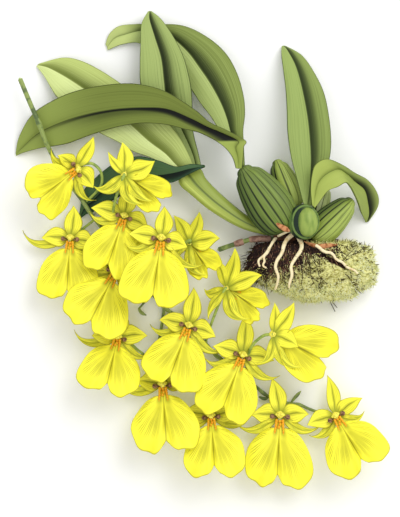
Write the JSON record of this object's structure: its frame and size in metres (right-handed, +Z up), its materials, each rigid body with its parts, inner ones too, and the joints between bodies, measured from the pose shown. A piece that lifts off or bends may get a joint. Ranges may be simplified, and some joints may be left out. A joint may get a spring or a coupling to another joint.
{
  "type": "oncidium orchid",
  "caption": "Flowering orchid lifted with its moss clump and laid flat: ribbed bulbs, leathery leaves, cream roots and a cut spray of yellow flowers with broad two-lobed lips",
  "frame": {"origin": "centre of the flat underside of the moss clump, on the surface that the plant lies on", "axes": "+X to the right of the plate, +Y up the plate towards the leaf tips, +Z up from the surface; the plate's picture is the view from +Z"},
  "size_m": [0.1846, 0.2394, 0.0347],
  "materials": {
    "moss": "matte",
    "rhizome": "matte",
    "root": "satin",
    "pseudobulb": "satin",
    "leaf": "satin",
    "pale_leaf": "satin",
    "dark_leaf": "satin",
    "sheath": "satin",
    "bract": "matte",
    "stem": "satin",
    "tepals": "satin",
    "lip": "satin"
  },
  "bodies": {
    "root": {"moss_clump": "moss", "rhizome": "rhizome", "root_1": "root", "root_2": "root", "root_3": "root", "root_4": "root", "pseudobulb_main": "pseudobulb", "pseudobulb_back": "pseudobulb", "pseudobulb_young": "pseudobulb", "pseudobulb_right": "pseudobulb", "pseudobulb_old": "pseudobulb", "leaf_long_front": "leaf", "leaf_arched_back": "leaf", "leaf_upright_left": "leaf", "leaf_upright_right": "leaf", "leaf_curled_right": "leaf", "leaf_pale_left": "pale_leaf", "leaf_dark_low": "dark_leaf", "growth_sheath": "sheath", "bract_main": "bract", "bract_right": "bract", "peduncle_stub": "stem", "flower_stem": "stem", "flower_01_tepals": "tepals", "flower_01_lip": "lip", "flower_02_tepals": "tepals", "flower_02_lip": "lip", "flower_03_tepals": "tepals", "flower_03_lip": "lip", "flower_04_tepals": "tepals", "flower_04_lip": "lip", "flower_05_tepals": "tepals", "flower_05_lip": "lip", "flower_06_tepals": "tepals", "flower_06_lip": "lip", "flower_07_tepals": "tepals", "flower_07_lip": "lip", "flower_08_tepals": "tepals", "flower_08_lip": "lip", "flower_09_tepals": "tepals", "flower_09_lip": "lip", "flower_10_tepals": "tepals", "flower_10_lip": "lip", "flower_11_tepals": "tepals", "flower_11_lip": "lip", "flower_12_tepals": "tepals", "flower_12_lip": "lip", "flower_13_tepals": "tepals", "flower_13_lip": "lip", "flower_14_tepals": "tepals", "flower_14_lip": "lip", "flower_15_tepals": "tepals", "flower_15_lip": "lip", "flower_16_tepals": "tepals", "flower_16_lip": "lip"}
  },
  "joints": []
}
